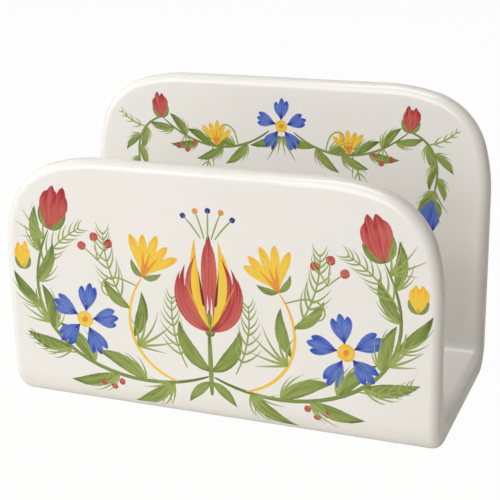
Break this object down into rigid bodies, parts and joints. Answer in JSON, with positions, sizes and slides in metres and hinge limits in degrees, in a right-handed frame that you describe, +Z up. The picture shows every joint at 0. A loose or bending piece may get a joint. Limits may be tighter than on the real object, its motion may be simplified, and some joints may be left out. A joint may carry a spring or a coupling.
{
  "type": "napkin holder",
  "caption": "Open U-shaped ceramic napkin holder with thick rolled rims, softly squared top corners and a back wall taller than the front.",
  "frame": {"origin": "centre of the footprint, on the table", "axes": "+X along the napkins, +Y towards the taller back wall, +Z up"},
  "size_m": [0.16, 0.082, 0.11],
  "materials": {
    "glaze": "glossy warm white glaze over pale earthenware",
    "paint": "hand-painted colours under the same gloss",
    "bare_clay": "matt unglazed foot rim"
  },
  "bodies": {
    "root": {"front_wall": "glaze", "back_wall": "glaze", "base_slab": "glaze", "front_seam_coil": "glaze", "back_seam_coil": "glaze"}
  },
  "joints": []
}
